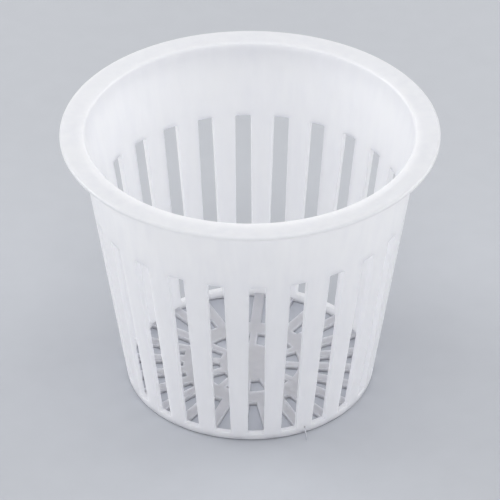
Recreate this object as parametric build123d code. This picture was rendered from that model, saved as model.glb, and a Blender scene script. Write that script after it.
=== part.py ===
"""A hydroponic net pot: one thin-walled cup, moulded in one piece and open all round.

The cup is a straight cone under a flat rim. Upright slots run right round the wall, and the floor is
a wheel of ribs, ring, spokes and hub. The pot stands on z = 0 with its axis on Z, in millimetres.
"""
from build123d import *
import os

# Overall sizes
height = 58.0
body_diameter = 67.2        # outside of the wall just under the rim, which drops into a hole
base_diameter = 50.5        # outside of the wall at the very bottom
rim_overhang = 3.9          # how far the rim stands out past the wall

# Thicknesses, the wall's taken level, straight out from the axis
wall = 1.2
floor = 1.0
rim_thickness = 1.0

# Eased edges
mouth_radius = 0.5          # where the rim's top turns down into the cup
rim_bevel = 0.4             # both outer edges of the rim
foot_bevel = 0.8            # bottom edge
edge_share = 0.45           # most of a thickness that one eased edge may take

# Upright slots in the wall
slot_count = 24
slot_width = 3.2
foot_band = 1.0             # solid wall from the floor up to the slots
plain_band = 15.2           # solid wall from the slots up to the rim

# Wheel that makes the floor
rib_width = 2.2             # one rib between each two slots, from the wall in to the ring
ring_width = 3.7
ribs_per_spoke = 2          # every second rib goes on past the ring to the hub
spoke_width = 1.6
spoke_length = 3.9
hub_radius = 6.2

# Worked out from the sizes above
body_radius = body_diameter / 2
base_radius = base_diameter / 2
rim_radius = body_radius + rim_overhang
rim_underside = height - rim_thickness
wall_slope = (body_radius - base_radius) / rim_underside
slot_bottom = floor + foot_band
slot_top = rim_underside - plain_band
rib_angle = 360 / slot_count / 2
ring_inner_radius = hub_radius + spoke_length
ring_outer_radius = ring_inner_radius + ring_width


def inner_radius(level: float) -> float:
    """Return the radius of the cup's inner face at a height."""
    return base_radius + wall_slope * level - wall


def corner(section: Face, place: tuple[float, float]) -> Vertex:
    """Return the section's corner nearest to a place given as radius and height."""
    r, z = place
    return min(section.vertices(), key=lambda v: abs(v.X - r) + abs(v.Z - z))


def cup() -> Part:
    """Return the uncut cup, its half section turned about the axis."""
    foot = (base_radius, 0)
    under_rim = (body_radius, rim_underside)
    rim_low = (rim_radius, rim_underside)
    rim_high = (rim_radius, height)
    mouth = (inner_radius(height), height)
    floor_edge = (inner_radius(floor), floor)
    foot_width = base_radius - inner_radius(floor)
    outline = [(0, 0), foot, under_rim, rim_low, rim_high, mouth, floor_edge, (0, floor)]
    section = make_face(Polyline([(r, 0, z) for r, z in outline], close=True))
    section = fillet(corner(section, mouth), mouth_radius)
    section = chamfer(corner(section, rim_high), min(rim_bevel, edge_share * rim_thickness))
    section = chamfer(corner(section, rim_low), min(rim_bevel, edge_share * rim_thickness))
    # The foot is eased on one side alone, so that edge may take two shares
    section = chamfer(corner(section, foot), min(foot_bevel, 2 * edge_share * foot_width))
    return revolve(section, Axis.Z)


def wall_slots() -> list[Part]:
    """Return the cutters for the wall, one upright bar out through each slot."""
    slot_height = slot_top - slot_bottom
    start = inner_radius(slot_bottom) - wall
    outline = Rectangle(slot_width, slot_height)
    standing = Plane.YZ.offset(start) * Pos(0, slot_bottom + slot_height / 2)
    bar = extrude(standing * outline, rim_radius - start)
    return [turn * bar for turn in PolarLocations(0, slot_count)]


def floor_openings() -> Part:
    """Return the cutters for the floor, the wedges outside its ring and those inside."""
    rib = Pos(base_radius / 2, 0) * Rectangle(base_radius, rib_width)
    spoke = Pos(ring_outer_radius / 2, 0) * Rectangle(ring_outer_radius, spoke_width)
    ribs = [turn * rib for turn in PolarLocations(0, slot_count, -rib_angle)]
    spokes = [turn * spoke for turn in PolarLocations(0, slot_count // ribs_per_spoke, -rib_angle)]
    outside_ring = Circle(inner_radius(floor)) - Circle(ring_outer_radius) - ribs
    inside_ring = Circle(ring_inner_radius) - Circle(hub_radius) - spokes
    return extrude(outside_ring + inside_ring, floor)


os.makedirs("parts", exist_ok=True)
net_pot = cup() - wall_slots() - floor_openings()
export_step(net_pot, "parts/net_pot.step")
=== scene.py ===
"""Look of a hydroponic net pot: one cup moulded in white translucent polypropylene.

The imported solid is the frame. One dense mesh with every edge softly rounded stands for it, in metres and
in the same place, and a small studio with a pale floor lights it.
"""
import logging
import math
from abc import ABC, abstractmethod
from collections.abc import Sequence
from dataclasses import dataclass
from enum import Enum

import bmesh
import bpy
import numpy as np
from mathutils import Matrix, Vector


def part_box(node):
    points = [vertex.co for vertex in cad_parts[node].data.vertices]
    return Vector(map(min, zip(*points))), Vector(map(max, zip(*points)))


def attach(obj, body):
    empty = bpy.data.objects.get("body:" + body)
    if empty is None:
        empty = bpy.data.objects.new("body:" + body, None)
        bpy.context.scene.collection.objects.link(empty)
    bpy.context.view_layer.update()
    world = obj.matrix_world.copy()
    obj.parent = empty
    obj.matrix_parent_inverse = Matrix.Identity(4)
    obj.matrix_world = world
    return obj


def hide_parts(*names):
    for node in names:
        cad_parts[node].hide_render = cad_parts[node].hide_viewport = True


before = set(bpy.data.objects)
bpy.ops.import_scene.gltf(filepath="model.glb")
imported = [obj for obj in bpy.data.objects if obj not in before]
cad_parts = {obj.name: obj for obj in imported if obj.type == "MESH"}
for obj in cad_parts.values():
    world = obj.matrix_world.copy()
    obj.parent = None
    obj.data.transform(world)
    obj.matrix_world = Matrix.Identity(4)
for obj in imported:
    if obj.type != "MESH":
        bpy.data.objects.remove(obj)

MM = 0.001
BODY = "root"
NODE = "net_pot"

# Points closer together than this are welded into one
WELD = 2e-6
# Faces that meet at more than this angle keep a crisp edge between them
SHARP_ANGLE = math.radians(38)
# A Mix node has sockets for each kind of value, and these are the numbers of the ones for colours
MIX_FIRST, MIX_SECOND, MIX_RESULT = 6, 7, 2

log = logging.getLogger("net_pot")


class Skin(Enum):
    """Side of the moulding's thickness, as the share of the way through it."""

    OUTSIDE = 0.0
    INSIDE = 1.0


def linear(colour: str) -> tuple[float, float, float, float]:
    """Turn an sRGB hex colour into linear light.

    The standard curve is a straight line for the darkest values and a power of 2.4 above them.

    Args:
        colour: Six hex digits, with or without a leading mark.

    Returns:
        Red, green, blue and an alpha of one.
    """
    digits = colour.lstrip("#")
    srgb = np.array([int(digits[i:i + 2], 16) for i in (0, 2, 4)]) / 255
    light = np.where(srgb <= 0.04045, srgb / 12.92, ((srgb + 0.055) / 1.055) ** 2.4)
    return (*light.tolist(), 1.0)


def add_node(
        tree: bpy.types.NodeTree, kind: str, inputs: dict[str | int, object] | None = None,
        **settings: object) -> bpy.types.Node:
    """Add one shader node, set its properties, and set or link its sockets.

    Args:
        tree: Node tree that takes the node.
        kind: Blender's name for the node's type.
        inputs: For each socket's name or number, a value or the output that feeds it.
        settings: Properties of the node by name.

    Returns:
        The new node.
    """
    made = tree.nodes.new(kind)
    for name, value in settings.items():
        setattr(made, name, value)
    for key, value in (inputs or {}).items():
        socket = made.inputs[key]
        if isinstance(value, bpy.types.NodeSocket):
            tree.links.new(value, socket)
        else:
            socket.default_value = value
    return made


def new_material(name: str) -> tuple[bpy.types.Material, bpy.types.NodeTree]:
    """Make an empty node material.

    Args:
        name: Name of the real material and how it was made.

    Returns:
        The material and its cleared node tree.
    """
    material = bpy.data.materials.new(name)
    material.use_nodes = True
    material.node_tree.nodes.clear()
    return material, material.node_tree


@dataclass(frozen=True)
class MouldedPolypropylene:
    """White translucent polypropylene, injection moulded in a finely blasted mould.

    Light soaks in and spreads several millimetres, so thin walls glow from behind and shadows on them are
    soft. The skin is satin, with fine grit and faint streaks where the melt ran and the mould drew off.
    """

    pale: str = "#F0F1F8"
    deep: str = "#E9EAF3"
    roughness_low: float = 0.30
    roughness_high: float = 0.40
    ior: float = 1.49
    glow: float = 1.0
    glow_depth: float = 8.5 * MM
    # Share of the glow's depth that red, green and blue light reach
    glow_reach: tuple[float, float, float] = (1.0, 1.0, 0.95)
    streak_width: float = 2.4 * MM
    # Heights are scaled by this before the pattern is taken, which draws the streaks out up the pot
    streak_stretch: float = 0.12
    streak_detail: float = 3.0
    cloud_width: float = 11 * MM
    cloud_detail: float = 2.0
    # Values of the noise between which the gloss, and the colour, go from one end to the other
    gloss_range: tuple[float, float] = (0.3, 0.7)
    colour_range: tuple[float, float] = (0.12, 0.4)
    # Real blasted grit is a few hundredths of a millimetre, too fine to show, so it is drawn coarser
    grit_width: float = 0.45 * MM
    grit_height: float = 0.012 * MM
    grit_detail: float = 2.0

    def material(self) -> bpy.types.Material:
        """Make the material, with clouds and streaks in its colour and gloss, and grit in its relief.

        Returns:
            The material.
        """
        material, tree = new_material("polypropylene_injection_moulded")
        place = add_node(tree, "ShaderNodeTexCoord").outputs["Object"]
        drawn = add_node(tree, "ShaderNodeMapping", {"Vector": place, "Scale": (1, 1, self.streak_stretch)})
        streaks = add_node(tree, "ShaderNodeTexNoise", {
            "Vector": drawn.outputs["Vector"], "Scale": 1 / self.streak_width, "Detail": self.streak_detail})
        clouds = add_node(tree, "ShaderNodeTexNoise", {
            "Vector": place, "Scale": 1 / self.cloud_width, "Detail": self.cloud_detail})
        grit = add_node(tree, "ShaderNodeTexNoise", {
            "Vector": place, "Scale": 1 / self.grit_width, "Detail": self.grit_detail})
        flow = add_node(tree, "ShaderNodeMath", {
            0: streaks.outputs["Fac"], 1: clouds.outputs["Fac"]}, operation="MULTIPLY")
        spread = add_node(tree, "ShaderNodeMapRange", {
            "Value": flow.outputs["Value"],
            "From Min": self.colour_range[0], "From Max": self.colour_range[1]})
        colour = add_node(tree, "ShaderNodeMix", {
            "Factor": spread.outputs["Result"],
            MIX_FIRST: linear(self.pale), MIX_SECOND: linear(self.deep)}, data_type="RGBA")
        gloss = add_node(tree, "ShaderNodeMapRange", {
            "Value": streaks.outputs["Fac"],
            "From Min": self.gloss_range[0], "From Max": self.gloss_range[1],
            "To Min": self.roughness_low, "To Max": self.roughness_high})
        relief = add_node(tree, "ShaderNodeBump", {
            "Height": grit.outputs["Fac"], "Strength": 1.0, "Distance": self.grit_height})
        shader = add_node(tree, "ShaderNodeBsdfPrincipled", {
            "Base Color": colour.outputs[MIX_RESULT], "Roughness": gloss.outputs["Result"],
            "Normal": relief.outputs["Normal"], "IOR": self.ior, "Subsurface Weight": self.glow,
            "Subsurface Radius": self.glow_reach, "Subsurface Scale": self.glow_depth})
        add_node(tree, "ShaderNodeOutputMaterial", {"Surface": shader.outputs["BSDF"]})
        return material


@dataclass(frozen=True)
class PaintedBoard:
    """Matt pale board under the pot, painted, with the faint mottle of a rolled coat."""

    pale: str = "#BEC1C7"
    deep: str = "#B9BCC2"
    roughness: float = 0.8
    mottle_width: float = 6 * MM
    mottle_detail: float = 4.0

    def material(self) -> bpy.types.Material:
        """Make the material, two near greys mixed by a fine mottle.

        Returns:
            The material.
        """
        material, tree = new_material("board_painted_matt")
        place = add_node(tree, "ShaderNodeTexCoord").outputs["Object"]
        mottle = add_node(tree, "ShaderNodeTexNoise", {
            "Vector": place, "Scale": 1 / self.mottle_width, "Detail": self.mottle_detail})
        colour = add_node(tree, "ShaderNodeMix", {
            "Factor": mottle.outputs["Fac"],
            MIX_FIRST: linear(self.pale), MIX_SECOND: linear(self.deep)}, data_type="RGBA")
        shader = add_node(tree, "ShaderNodeBsdfPrincipled", {
            "Base Color": colour.outputs[MIX_RESULT], "Roughness": self.roughness})
        add_node(tree, "ShaderNodeOutputMaterial", {"Surface": shader.outputs["BSDF"]})
        return material


@dataclass
class Patch:
    """Part of a surface: points as rows of x, y, z, and faces as rows of four point numbers."""

    points: np.ndarray
    faces: np.ndarray

    @classmethod
    def from_grid(cls, grid: np.ndarray) -> "Patch":
        """Make a patch of quads from a grid whose rows close on themselves.

        Each quad joins a point to the next in its row, and both to the row below.

        Args:
            grid: Places as an array of rows, columns and x, y, z.

        Returns:
            The patch.
        """
        rows, columns = grid.shape[:2]
        number = np.arange(rows * columns).reshape(rows, columns)
        beside = np.roll(number, -1, axis=1)
        quads = np.stack([number[:-1], beside[:-1], beside[1:], number[1:]], axis=-1)
        return cls(grid.reshape(-1, 3), quads.reshape(-1, 4))

    @classmethod
    def joined(cls, patches: Sequence["Patch"]) -> "Patch":
        """Put patches into one, with each one's point numbers moved on past the points before it.

        Args:
            patches: The patches, in order.

        Returns:
            All of them as one patch, not yet welded.
        """
        starts = np.cumsum([0] + [len(patch.points) for patch in patches[:-1]])
        points = np.concatenate([patch.points for patch in patches])
        faces = np.concatenate([patch.faces + start for patch, start in zip(patches, starts)])
        return cls(points, faces)

    def turned(self, count: int, start: float) -> "Patch":
        """Repeat the patch about the pot's axis.

        Copy k is the patch turned by the start angle plus k equal shares of a full turn.

        Args:
            count: Number of copies.
            start: Angle of the first copy, in radians.

        Returns:
            All the copies as one patch.
        """
        angle = start + np.arange(count) * 2 * math.pi / count
        cos, sin = np.cos(angle)[:, None], np.sin(angle)[:, None]
        x, y, z = self.points.T
        height = np.broadcast_to(z, (count, z.size))
        points = np.stack([cos * x - sin * y, sin * x + cos * y, height], axis=-1)
        shift = np.arange(count)[:, None, None] * len(self.points)
        return Patch(points.reshape(-1, 3), (self.faces + shift).reshape(-1, 4))


def round_about(radius: np.ndarray, angle: np.ndarray, z: np.ndarray | float) -> np.ndarray:
    """Turn radius, angle and height into x, y, z.

    Args:
        radius: Distances from the pot's axis.
        angle: Angles about it, in radians.
        z: Heights.

    Returns:
        The places, in an array with one more axis than the arguments share.
    """
    return np.stack(np.broadcast_arrays(radius * np.cos(angle), radius * np.sin(angle), z), axis=-1)


def rounded_path(corners: list[tuple[float, float, float]], steps: int, guard: float) -> np.ndarray:
    """Round the inner corners of a path in the pot's half section.

    Each corner becomes the arc that touches both its runs. A point of the arc is its two ends, seen from
    the centre and weighted by the sines of the angle still to go and of the angle gone. A guard point
    stands on each run just off the arc, so that the flat beside it shades flat.

    Args:
        corners: Radius, height and rounding of each corner; the two ends have no rounding.
        steps: Segments in one arc.
        guard: Distance from an arc to its guard points.

    Returns:
        Radius and height of the points along the rounded path.
    """
    place = np.array([corner[:2] for corner in corners])
    path = [place[:1]]
    share = np.linspace(0, 1, steps + 1)[:, None]
    for before, corner, after, (_, _, rounding) in zip(place, place[1:], place[2:], corners[1:]):
        back = (before - corner) / np.linalg.norm(before - corner)
        ahead = (after - corner) / np.linalg.norm(after - corner)
        half = math.acos(np.clip(back @ ahead, -1, 1)) / 2
        reach = rounding / math.tan(half)
        middle = (back + ahead) / np.linalg.norm(back + ahead)
        centre = corner + middle * rounding / math.sin(half)
        start, end = corner + back * reach, corner + ahead * reach
        sweep = math.pi - 2 * half
        arc = np.sin((1 - share) * sweep) * (start - centre) + np.sin(share * sweep) * (end - centre)
        path += [(start + back * guard)[None], centre + arc / math.sin(sweep), (end + ahead * guard)[None]]
    return np.concatenate([*path, place[-1:]])


@dataclass(frozen=True)
class Shape:
    """Sizes of the moulding, the same as the solid's, and the small roundings of its edges."""

    rim_radius: float
    height: float
    body_radius: float = 33.6 * MM
    base_radius: float = 25.25 * MM
    wall: float = 1.2 * MM
    floor: float = 1.0 * MM
    rim_thickness: float = 1.0 * MM
    slot_count: int = 24
    slot_width: float = 3.2 * MM
    foot_band: float = 1.0 * MM
    plain_band: float = 15.2 * MM
    rib_width: float = 2.2 * MM
    ring_width: float = 3.7 * MM
    spoke_count: int = 12
    spoke_width: float = 1.6 * MM
    spoke_length: float = 3.9 * MM
    hub_radius: float = 6.2 * MM
    rim_round: float = 0.45 * MM
    under_rim_round: float = 0.5 * MM
    mouth_round: float = 0.5 * MM
    foot_round: float = 0.8 * MM
    edge_round: float = 0.22 * MM
    slot_corner: float = 0.3 * MM
    gap_corner: float = 0.15 * MM

    @property
    def rim_underside(self) -> float:
        """Height of the rim's underside."""
        return self.height - self.rim_thickness

    @property
    def slope(self) -> float:
        """Growth of the wall's radius for each unit of height."""
        return (self.body_radius - self.base_radius) / self.rim_underside

    @property
    def slot_bottom(self) -> float:
        """Height where the slots begin."""
        return self.floor + self.foot_band

    @property
    def slot_top(self) -> float:
        """Height where the slots end."""
        return self.rim_underside - self.plain_band

    @property
    def ring_inner(self) -> float:
        """Inner radius of the floor's ring."""
        return self.hub_radius + self.spoke_length

    @property
    def ring_outer(self) -> float:
        """Outer radius of the floor's ring."""
        return self.ring_inner + self.ring_width

    @property
    def half_pitch(self) -> float:
        """Half the angle from one slot to the next."""
        return math.pi / self.slot_count

    @property
    def band_line(self) -> float:
        """Height of the seam between floor and wall cells, half-way up the foot band."""
        return self.floor + self.foot_band / 2

    @property
    def plain_line(self) -> float:
        """Height of the seam between the wall's cells and the plain band."""
        return self.slot_top + self.foot_band

    @property
    def ring_line(self) -> float:
        """Radius of the seam that runs round the middle of the ring."""
        return (self.ring_inner + self.ring_outer) / 2

    @property
    def hub_line(self) -> float:
        """Radius of the seam on the hub, just inside its edge."""
        return self.hub_radius - self.foot_band

    def wall_radius(self, z: np.ndarray | float, through: np.ndarray | float) -> np.ndarray | float:
        """Give the wall's radius: the cone's at that height, less the depth through the wall.

        Args:
            z: Height.
            through: Share of the way through the wall, 0 outside and 1 inside.

        Returns:
            The radius.
        """
        return self.base_radius + self.slope * z - through * self.wall


@dataclass(frozen=True)
class Mesh:
    """How finely a cell is divided.

    Attributes:
        across: Steps along the opening's low and high sides.
        up: Steps along its two other sides.
        corner: Steps round each of its corners.
        face: Rows from the cell's edge to the opening.
        edge: Steps over each rounded edge.
        depth: Steps along the straight part of the passage.
        crowding: Power that spaces the rows of a face; above one, they crowd towards the opening.
    """

    across: int
    up: int
    corner: int
    face: int
    edge: int
    depth: int
    crowding: float = 1.4


@dataclass(frozen=True)
class Opening(ABC):
    """One opening through the moulding and the frame of material round it, as a closed strip.

    Places on the skin are given by a run, which is the distance along the pot's half section, and an angle
    from the opening's middle. The strip's columns go round the opening. Its rows start at the cell's
    edge on the outside, reach the opening, go through it over two rounded edges, and end at the cell's
    edge on the inside.

    Attributes:
        shape: Sizes of the moulding.
        low: Run where the opening begins.
        high: Run where it ends.
        start: Run of the cell's lower edge.
        half_pitch: Half the cell's angle.
        corner: Rounding of the opening's corners.
        mesh: How finely the cell is divided.
    """

    shape: Shape
    low: float
    high: float
    start: float
    half_pitch: float
    corner: float
    mesh: Mesh

    @abstractmethod
    def half_angle(self, run: np.ndarray, grow: np.ndarray, through: np.ndarray) -> np.ndarray:
        """Give half the opening's width as an angle.

        Args:
            run: Places along the section.
            grow: Distance that the outline stands outside the true opening.
            through: Share of the way through the thickness.

        Returns:
            The angles.
        """

    @abstractmethod
    def radius(self, run: np.ndarray, through: np.ndarray | float) -> np.ndarray:
        """Return the radius at a run and depth."""

    @abstractmethod
    def place(self, run: np.ndarray, angle: np.ndarray, through: np.ndarray | float) -> np.ndarray:
        """Return x, y, z at a run, angle and depth inside the opening."""

    @abstractmethod
    def on_skin(self, run: np.ndarray, angle: np.ndarray, skin: Skin) -> np.ndarray:
        """Return x, y, z at a run and angle on one skin, out to the cell's edge."""

    @abstractmethod
    def end(self, skin: Skin) -> float:
        """Return the run of the cell's upper edge on one skin."""

    def high_grow(self, grow: np.ndarray, through: np.ndarray) -> np.ndarray:
        """Return how far the opening's upper side stands out where its outline grows."""
        return grow

    def outline(self, grow: np.ndarray, through: np.ndarray) -> tuple[np.ndarray, np.ndarray]:
        """Trace the opening: low side, right side, high side, left side, with a small curve at each corner.

        A corner is the quadratic curve pulled towards the meeting point of its two sides.

        Args:
            grow: Distance outside the true opening, one for each row.
            through: Share of the way through the thickness, one for each row.

        Returns:
            Runs and angles, in rows of one closed outline each.
        """
        low, high = self.low - grow, self.high + self.high_grow(grow, through)
        across = np.linspace(-1, 1, self.mesh.across + 1)
        share = np.linspace(0, 1, self.mesh.up + 1)
        bend = np.linspace(0, 1, self.mesh.corner + 1)[1:-1]

        def half(run: np.ndarray) -> np.ndarray:
            """Return half the opening's angle at these runs."""
            return self.half_angle(run, grow, through)

        def curve(first: np.ndarray, pull: np.ndarray, last: np.ndarray) -> np.ndarray:
            """Return the corner's curve between two points."""
            return first * (1 - bend) ** 2 + pull * 2 * bend * (1 - bend) + last * bend ** 2

        side = low + self.corner + share * (high - low - 2 * self.corner)
        low_end = half(low) - self.corner / self.radius(low, through)
        high_end = half(high) - self.corner / self.radius(high, through)
        right_run = np.concatenate([
            curve(low, low, side[:, :1]), side, curve(side[:, -1:], high, high)], axis=1)
        right = np.concatenate([
            curve(low_end, half(low), half(side[:, :1])), half(side),
            curve(half(side[:, -1:]), half(high), high_end)], axis=1)
        flat = np.ones_like(across)
        run = np.concatenate([low * flat, right_run, high * flat, right_run[:, ::-1]], axis=1)
        angle = np.concatenate([low_end * across, right, -high_end * across, -right[:, ::-1]], axis=1)
        return run, angle

    def cell_edge(self, skin: Skin) -> tuple[np.ndarray, np.ndarray]:
        """Trace the cell's edge, point for point beside the opening's outline.

        The cell is a sector: its low and high sides keep one run each, and its other two sides stand half
        a pitch to the right and left of the opening's middle.

        Args:
            skin: Side of the thickness.

        Returns:
            Runs and angles of the closed edge.
        """
        end = self.end(skin)
        first, last = self.low + self.corner, self.high - self.corner
        across = np.linspace(-1, 1, self.mesh.across + 1)
        right = np.concatenate([
            np.linspace(self.start, first, self.mesh.corner + 1)[1:-1],
            np.linspace(first, last, self.mesh.up + 1),
            np.linspace(last, end, self.mesh.corner + 1)[1:-1]])
        flat = np.ones_like(across)
        run = np.concatenate([self.start * flat, right, end * flat, right[::-1]])
        side = np.ones_like(right)
        angle = self.half_pitch * np.concatenate([across, side, -across, -side])
        return run, angle

    def face(self, skin: Skin) -> np.ndarray:
        """Fill one skin from the cell's edge to the opening's rounded edge.

        Each point lies on the straight run from an edge point to its opening point, closer together
        towards the opening.

        Args:
            skin: Side of the thickness.

        Returns:
            Places in rows from the cell's edge to the opening.
        """
        grow, through = np.array([[self.shape.edge_round]]), np.array([[skin.value]])
        inner_run, inner_angle = self.outline(grow, through)
        outer_run, outer_angle = self.cell_edge(skin)
        share = 1 - np.linspace(1, 0, self.mesh.face + 1)[:, None] ** self.mesh.crowding
        run = outer_run + (inner_run - outer_run) * share
        angle = outer_angle + (inner_angle - outer_angle) * share
        return self.on_skin(run, angle, skin)

    def passage(self, thickness: float) -> np.ndarray:
        """Line the opening: a quarter circle in from each skin, and a straight wall between them.

        Args:
            thickness: Depth of the opening.

        Returns:
            Places in rows from outside to inside, without the two rows that the faces end on.
        """
        turn = np.linspace(0, math.pi / 2, self.mesh.edge + 1)[1:]
        edge = self.shape.edge_round
        depth = edge * (1 - np.cos(turn)) / thickness
        grow = edge * (1 - np.sin(turn))
        straight = np.linspace(depth[-1], 1 - depth[-1], self.mesh.depth + 1)[1:-1]
        through = np.concatenate([depth, straight, 1 - depth[::-1]])[:, None]
        grow = np.concatenate([grow, 0 * straight, grow[::-1]])[:, None]
        run, angle = self.outline(grow, through)
        return self.place(run, angle, through)

    def strip(self, thickness: float) -> Patch:
        """Join outside face, passage and inside face into the whole cell.

        Args:
            thickness: Depth of the opening.

        Returns:
            The cell as one patch.
        """
        outside = self.face(Skin.OUTSIDE)
        inside = self.face(Skin.INSIDE)[::-1]
        return Patch.from_grid(np.concatenate([outside, self.passage(thickness), inside]))


@dataclass(frozen=True)
class WallSlot(Opening):
    """Upright slot with parallel sides through the cone of the wall, whose runs are heights."""

    def half_angle(self, run: np.ndarray, grow: np.ndarray, through: np.ndarray) -> np.ndarray:
        """Return the angle whose sine is half the slot's width over the wall's radius there."""
        return np.arcsin((self.shape.slot_width / 2 + grow) / self.radius(run, through))

    def radius(self, run: np.ndarray, through: np.ndarray | float) -> np.ndarray:
        """Return the wall's radius at a height and depth."""
        return self.shape.wall_radius(run, through)

    def place(self, run: np.ndarray, angle: np.ndarray, through: np.ndarray | float) -> np.ndarray:
        """Return x, y, z in the wall, straight in from the cone."""
        return round_about(self.radius(run, through), angle, run)

    def on_skin(self, run: np.ndarray, angle: np.ndarray, skin: Skin) -> np.ndarray:
        """Return x, y, z on one face of the wall."""
        return self.place(run, angle, skin.value)

    def end(self, skin: Skin) -> float:
        """Return the height where the plain band begins."""
        return self.shape.plain_line


@dataclass(frozen=True)
class FloorGap(Opening):
    """Gap between two bars of the floor's wheel, whose runs are radii."""

    bar_width: float = 0.0

    def half_angle(self, run: np.ndarray, grow: np.ndarray, through: np.ndarray) -> np.ndarray:
        """Return the half pitch less the angle that half of a straight bar takes up at that radius."""
        return self.half_pitch - np.arcsin((self.bar_width / 2 - grow) / run)

    def radius(self, run: np.ndarray, through: np.ndarray | float) -> np.ndarray:
        """Return the radius, which is the run itself."""
        return run

    def place(self, run: np.ndarray, angle: np.ndarray, through: np.ndarray | float) -> np.ndarray:
        """Return x, y, z in the floor."""
        return round_about(run, angle, through * self.shape.floor)

    def on_skin(self, run: np.ndarray, angle: np.ndarray, skin: Skin) -> np.ndarray:
        """Return x, y, z on one face of the floor."""
        return self.place(run, angle, skin.value)

    def end(self, skin: Skin) -> float:
        """Return the radius of the ring's seam."""
        return self.shape.ring_line


@dataclass(frozen=True)
class FootGap(FloorGap):
    """Gap between two ribs that reaches the wall, so that its cell goes on round the foot and up the wall."""

    foot_stretch: float = 3.0
    foot_steps: int = 8

    def section(self, skin: Skin) -> tuple[np.ndarray, np.ndarray, np.ndarray]:
        """Trace the half section from the axis out along the floor and up the wall to its seam.

        Outside, the floor turns up into the wall over the foot's arc, whose run is stretched so that more
        rows fall on it. Inside, the floor meets the wall in a corner.

        Args:
            skin: Side of the thickness.

        Returns:
            Runs, radii and heights of the points of the path.
        """
        shape = self.shape
        if skin is Skin.INSIDE:
            corner = shape.wall_radius(shape.floor, 1)
            radius = np.array([0, corner, shape.wall_radius(shape.band_line, 1)])
            z = np.array([shape.floor, shape.floor, shape.band_line])
            return np.array([0, corner, corner + shape.band_line - shape.floor]), radius, z
        lean = math.atan2(1, shape.slope)
        centre = shape.base_radius - shape.foot_round * math.tan(lean / 2)
        turn = np.linspace(0, lean, self.foot_steps + 1)
        arc_radius = centre + shape.foot_round * np.sin(turn)
        arc_z = shape.foot_round * (1 - np.cos(turn))
        arc_run = centre + self.foot_stretch * shape.foot_round * turn
        radius = np.concatenate([[0], arc_radius, [shape.wall_radius(shape.band_line, 0)]])
        z = np.concatenate([[0], arc_z, [shape.band_line]])
        run = np.concatenate([[0], arc_run, [arc_run[-1] + shape.band_line - arc_z[-1]]])
        return run, radius, z

    def on_skin(self, run: np.ndarray, angle: np.ndarray, skin: Skin) -> np.ndarray:
        """Return x, y, z along the half section of one skin."""
        path_run, path_radius, path_z = self.section(skin)
        return round_about(np.interp(run, path_run, path_radius), angle, np.interp(run, path_run, path_z))

    def end(self, skin: Skin) -> float:
        """Return the run of the seam on the foot band."""
        return float(self.section(skin)[0][-1])

    def high_grow(self, grow: np.ndarray, through: np.ndarray) -> np.ndarray:
        """Return no growth on the inside, where the gap's outer side runs straight on up the wall."""
        halfway = (Skin.OUTSIDE.value + Skin.INSIDE.value) / 2
        return np.where(through < halfway, grow, 0 * grow)


@dataclass(frozen=True)
class FlashHair:
    """Hair of moulding flash on the foot, which hangs over the edge and lies out on the ground.

    Attributes:
        shape: Sizes of the moulding.
        angle: Where it hangs, as an angle about the pot's axis.
        start_height: Height on the wall where it begins.
        reach: How far out from the wall it ends.
        drift: How far sideways it ends.
        thickness: Its diameter.
        taper_power: Power of the sine that thins its ends; the smaller, the blunter they are.
        steps: Segments along it.
        sides: Segments round it.
    """

    shape: Shape
    angle: float = math.radians(-67.3)
    start_height: float = 2.1 * MM
    reach: float = 2.3 * MM
    drift: float = 0.6 * MM
    thickness: float = 0.26 * MM
    taper_power: float = 0.25
    steps: int = 24
    sides: int = 8

    def path(self) -> np.ndarray:
        """Trace the hair's middle line.

        It is a cubic curve with four pulling points: in the wall above the foot, out in front of the foot's
        edge, down on the ground, and the loose end, which lies further out and drifts to one side.

        Returns:
            Places along the hair, in rows of x, y, z.
        """
        wall = self.shape.wall_radius(self.start_height, 0)
        ground = self.thickness / 2
        pull = np.array([
            (wall - ground, 0, self.start_height),
            (wall + self.thickness, 0, self.start_height / 2),
            (wall + self.thickness, self.drift / 2, ground),
            (wall + self.reach, -self.drift, ground)])
        share = np.linspace(0, 1, self.steps + 1)[:, None]
        weights = np.hstack([
            (1 - share) ** 3, 3 * share * (1 - share) ** 2, 3 * share ** 2 * (1 - share), share ** 3])
        out, side, up = (weights @ pull).T
        cos, sin = math.cos(self.angle), math.sin(self.angle)
        return np.column_stack([out * cos - side * sin, out * sin + side * cos, up])

    def patch(self) -> Patch:
        """Carry a circle along the path, thinning to a point at both ends.

        The circle's radius is half the thickness times a low power of a sine that is nil at the ends.

        Returns:
            The hair's closed surface.
        """
        line = self.path()
        along = np.gradient(line, axis=0)
        level = np.cross(along, (0, 0, 1))
        level /= np.linalg.norm(level, axis=1)[:, None]
        rise = np.cross(level, along)
        rise /= np.linalg.norm(rise, axis=1)[:, None]
        swell = np.sin(np.linspace(0, math.pi, self.steps + 1)).clip(0)
        taper = swell ** self.taper_power * self.thickness / 2
        turn = np.arange(self.sides) * 2 * math.pi / self.sides
        ring = np.cos(turn)[None, :, None] * level[:, None] + np.sin(turn)[None, :, None] * rise[:, None]
        return Patch.from_grid(line[:, None] + taper[:, None, None] * ring)


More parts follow.
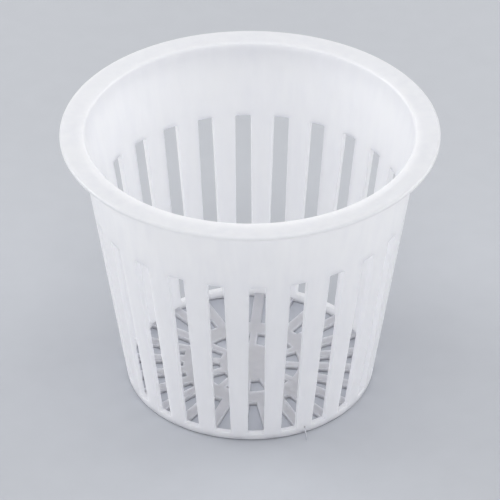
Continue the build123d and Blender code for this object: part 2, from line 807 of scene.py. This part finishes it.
@dataclass
class NetPot:
    """The whole pot: wall with its slots, rim, and the floor's wheel, welded into one closed surface.

    Attributes:
        shape: Sizes of the moulding.
        finish: Its material.
        columns: Steps across one slot's pitch, which all the seams share.
        rim_steps: Segments in each rounded edge of the rim.
        hub_rings: Rings of points on each face of the hub, the axis among them.
        guard: Distance from a rounded edge of the rim to its guard points.
        name: Name of the piece.
    """

    shape: Shape
    finish: MouldedPolypropylene
    columns: int = 8
    rim_steps: int = 7
    hub_rings: int = 7
    guard: float = 0.04 * MM
    name: str = "net_pot_moulding"

    def wall_cells(self) -> Patch:
        """Make the slotted part of the wall, one cell repeated for each slot.

        Returns:
            All the cells as one patch.
        """
        shape = self.shape
        slot = WallSlot(
            shape, low=shape.slot_bottom, high=shape.slot_top, start=shape.band_line,
            half_pitch=shape.half_pitch, corner=shape.slot_corner,
            mesh=Mesh(across=self.columns, up=18, corner=4, face=4, edge=4, depth=2))
        return slot.strip(shape.wall).turned(shape.slot_count, start=0.0)

    def rib_cells(self) -> Patch:
        """Make the floor's ribs, from the ring out, with the foot of the wall.

        Returns:
            All the cells as one patch.
        """
        shape = self.shape
        gap = FootGap(
            shape, low=shape.ring_outer, high=shape.wall_radius(shape.floor, 1), start=shape.ring_line,
            half_pitch=shape.half_pitch, corner=shape.gap_corner,
            mesh=Mesh(across=self.columns, up=6, corner=8, face=7, edge=3, depth=1),
            bar_width=shape.rib_width)
        return gap.strip(shape.floor).turned(shape.slot_count, start=0.0)

    def spoke_cells(self) -> Patch:
        """Make the floor's spokes with the inner half of the ring and the hub's edge.

        Returns:
            All the cells as one patch.
        """
        shape = self.shape
        pitch = shape.slot_count // shape.spoke_count
        gap = FloorGap(
            shape, low=shape.hub_radius, high=shape.ring_inner, start=shape.hub_line,
            half_pitch=shape.half_pitch * pitch, corner=shape.gap_corner,
            mesh=Mesh(across=self.columns * pitch, up=5, corner=4, face=4, edge=3, depth=1),
            bar_width=shape.spoke_width)
        return gap.strip(shape.floor).turned(shape.spoke_count, start=shape.half_pitch)

    def column_angles(self) -> np.ndarray:
        """Return the angles of the upright lines that the cells' seams share."""
        count = self.shape.slot_count * self.columns
        return np.arange(count) * 2 * math.pi / count - self.shape.half_pitch

    def rim(self) -> Patch:
        """Make the plain band and the rim.

        The half section goes up the outside, out under the rim, over its edge, in across its top, over
        the mouth and down the inside. It is turned about the axis.

        Returns:
            The band and rim as one patch.
        """
        shape = self.shape
        path = rounded_path([
            (shape.wall_radius(shape.plain_line, 0), shape.plain_line, 0),
            (shape.body_radius, shape.rim_underside, shape.under_rim_round),
            (shape.rim_radius, shape.rim_underside, shape.rim_round),
            (shape.rim_radius, shape.height, shape.rim_round),
            (shape.wall_radius(shape.height, 1), shape.height, shape.mouth_round),
            (shape.wall_radius(shape.plain_line, 1), shape.plain_line, 0)], self.rim_steps, self.guard)
        return Patch.from_grid(round_about(path[:, :1], self.column_angles(), path[:, 1:]))

    def hub(self) -> Patch:
        """Make the hub's two faces, each a disc of rings that shrink to the axis.

        Returns:
            Both discs as one patch.
        """
        radius = np.linspace(self.shape.hub_line, 0, self.hub_rings)[:, None]
        return Patch.joined([
            Patch.from_grid(round_about(radius, self.column_angles(), np.full_like(radius, z)))
            for z in (0.0, self.shape.floor)])

    def surface(self) -> bpy.types.Mesh:
        """Weld the patches into one closed mesh whose faces point outwards.

        Returns:
            The mesh, smooth but for its sharp edges.
        """
        whole = Patch.joined([
            self.wall_cells(), self.rib_cells(), self.spoke_cells(), self.rim(), self.hub(),
            FlashHair(self.shape).patch()])
        mesh = bpy.data.meshes.new(self.name)
        mesh.from_pydata(whole.points, [], whole.faces)
        weld = bmesh.new()
        weld.from_mesh(mesh)
        bmesh.ops.remove_doubles(weld, verts=weld.verts, dist=WELD)
        bmesh.ops.dissolve_degenerate(weld, edges=weld.edges, dist=WELD / 2)
        bmesh.ops.recalc_face_normals(weld, faces=weld.faces)
        weld.to_mesh(mesh)
        weld.free()
        mesh.shade_smooth()
        mesh.set_sharp_from_angle(angle=SHARP_ANGLE)
        return mesh

    def build(self) -> bpy.types.Object:
        """Make the pot's object, dress it and set it on its body.

        Returns:
            The pot's object, at the origin.
        """
        mesh = self.surface()
        mesh.materials.append(self.finish.material())
        pot = bpy.data.objects.new(self.name, mesh)
        bpy.context.scene.collection.objects.link(pot)
        even = pot.modifiers.new("even_normals", "WEIGHTED_NORMAL")
        even.keep_sharp = True
        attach(pot, BODY)
        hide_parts(NODE)
        return pot


@dataclass(frozen=True)
class Softbox:
    """Square lamp with a soft face, aimed at the pot: place and size in metres, power in watts."""

    name: str
    place: tuple[float, float, float]
    size: float
    power: float

    def build(self, target: Vector) -> bpy.types.Object:
        """Place the lamp and turn its face to the target.

        Args:
            target: Point that the lamp looks at.

        Returns:
            The lamp's object.
        """
        lamp = bpy.data.lights.new(self.name, "AREA")
        lamp.size = self.size
        lamp.energy = self.power
        made = bpy.data.objects.new(self.name, lamp)
        made.location = self.place
        made.rotation_euler = (target - made.location).to_track_quat("-Z", "Y").to_euler()
        bpy.context.scene.collection.objects.link(made)
        return made


@dataclass
class Studio:
    """Pale floor, soft lamps and an even dim surround.

    The floor lies just below the pot's foot, so that the two don't share a plane.
    """

    finish: PaintedBoard
    lamps: tuple[Softbox, ...] = (
        Softbox("left_softbox", place=(-1.14, 0.4, 0.57), size=0.92, power=8.1),
        Softbox("right_softbox", place=(1.14, 0.4, 0.57), size=0.92, power=6.3),
        Softbox("back_softbox", place=(0.0, 1.32, 0.88), size=1.0, power=1.4),
        Softbox("front_softbox", place=(0.0, -1.54, 0.77), size=1.0, power=4.8),
        Softbox("top_softbox", place=(0.0, -0.44, 1.76), size=1.1, power=8.4))
    surround: str = "#FFFFFF"
    surround_strength: float = 0.49
    floor_reach: float = 3.0
    floor_drop: float = 0.02 * MM

    def floor(self) -> bpy.types.Object:
        """Make the floor, one square about the origin.

        Returns:
            The floor's object.
        """
        reach = self.floor_reach
        corners = np.array([(-reach, -reach), (reach, -reach), (reach, reach), (-reach, reach)])
        points = np.column_stack([corners, np.full(len(corners), -self.floor_drop)])
        mesh = bpy.data.meshes.new("studio_floor")
        mesh.from_pydata(points, [], [(0, 1, 2, 3)])
        mesh.materials.append(self.finish.material())
        floor = bpy.data.objects.new("studio_floor", mesh)
        bpy.context.scene.collection.objects.link(floor)
        return floor

    def build(self, target: Vector) -> bpy.types.Object:
        """Make the floor, lamps and surround.

        Args:
            target: Point that the lamps look at.

        Returns:
            The floor's object.
        """
        floor = self.floor()
        for lamp in self.lamps:
            lamp.build(target)
        world = bpy.data.worlds.new("studio_surround")
        world.use_nodes = True
        world.node_tree.nodes.clear()
        light = add_node(world.node_tree, "ShaderNodeBackground", {
            "Color": linear(self.surround), "Strength": self.surround_strength})
        add_node(world.node_tree, "ShaderNodeOutputWorld", {"Surface": light.outputs["Background"]})
        bpy.context.scene.world = world
        bpy.context.scene.view_settings.view_transform = "Standard"
        return floor


@dataclass(frozen=True)
class Camera:
    """Camera at the photograph's angle: long lens, looking down on the pot from the front.

    The angles and the distance follow from the ellipse that the rim makes in the photograph. The lens is
    long enough for the pot to fill the picture.
    """

    azimuth: float = math.radians(-2.7)
    elevation: float = math.radians(34.93)
    distance: float = 686 * MM
    lens_mm: float = 245.0
    sensor_mm: float = 36.0

    def build(self, target: Vector) -> bpy.types.Object:
        """Place the camera and make it the scene's own.

        Args:
            target: Point in the middle of the picture.

        Returns:
            The camera's object.
        """
        level = math.cos(self.elevation)
        away = Vector((
            math.sin(self.azimuth) * level, -math.cos(self.azimuth) * level, math.sin(self.elevation)))
        lens = bpy.data.cameras.new("photo_camera")
        lens.lens = self.lens_mm
        lens.sensor_width = self.sensor_mm
        camera = bpy.data.objects.new("photo_camera", lens)
        camera.location = target + away * self.distance
        camera.rotation_euler = (-away).to_track_quat("-Z", "Y").to_euler()
        bpy.context.scene.collection.objects.link(camera)
        bpy.context.scene.camera = camera
        return camera


def main() -> None:
    """Build the pot, the studio and the camera in order."""
    logging.basicConfig(level=logging.INFO, format="%(name)s: %(message)s")
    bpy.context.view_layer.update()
    _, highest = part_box(NODE)
    shape = Shape(rim_radius=float(highest.x), height=float(highest.z))
    pot = NetPot(shape, MouldedPolypropylene()).build()
    log.info("%s: %d points, %d faces", pot.name, len(pot.data.vertices), len(pot.data.polygons))

    target = Vector((0, 0, shape.height / 2))
    studio = Studio(PaintedBoard())
    floor = studio.build(target)
    log.info("%s: stage, with %d lamps", floor.name, len(studio.lamps))
    camera = Camera().build(target)
    log.info("%s: lens %.0f mm", camera.name, camera.data.lens)


if __name__ == "__main__":
    main()
